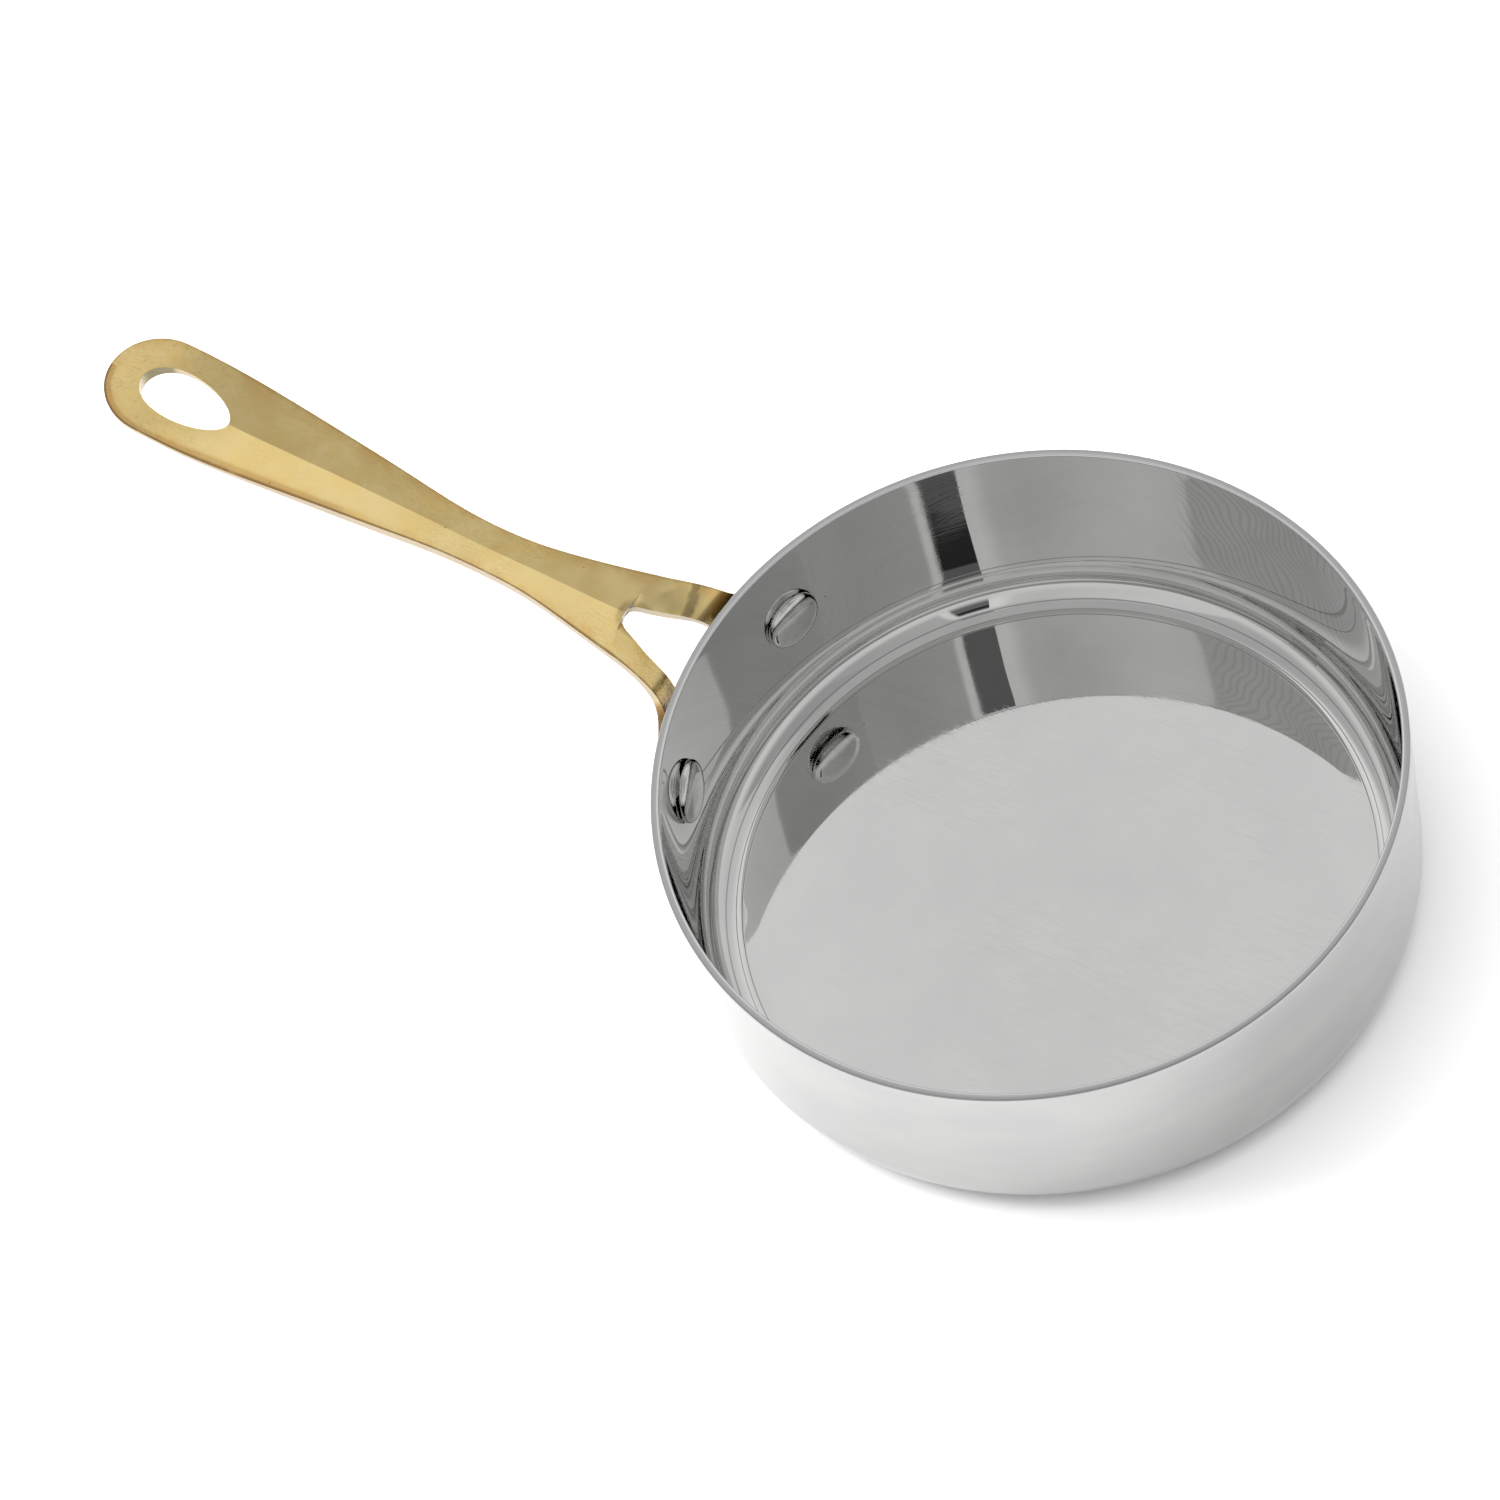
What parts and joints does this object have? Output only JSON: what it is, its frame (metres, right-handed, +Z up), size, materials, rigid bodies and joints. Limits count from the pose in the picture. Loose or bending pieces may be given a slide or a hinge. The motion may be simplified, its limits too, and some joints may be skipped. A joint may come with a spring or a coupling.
{
  "type": "saucepan",
  "caption": "Shallow straight-sided saucepan with a polished metal body and a long cast brass handle that forks into two riveted legs and ends in a hanging hole.",
  "frame": {"origin": "centre of the flat underside of the pan", "axes": "+Z up out of the open pan; the handle reaches out along -X, so +X is the side opposite the handle"},
  "size_m": [0.3777, 0.2, 0.1017],
  "materials": {
    "polished_steel": "mirror polished inside and out, fine wiping scratches on the floor",
    "cast_brass": "cast and polished, lightly worn, darker at the bends",
    "rivet_steel": "polished domed heads"
  },
  "bodies": {
    "root": {"pan_body": "polished_steel", "handle": "cast_brass", "rivet_left": "rivet_steel", "rivet_right": "rivet_steel"}
  },
  "joints": []
}
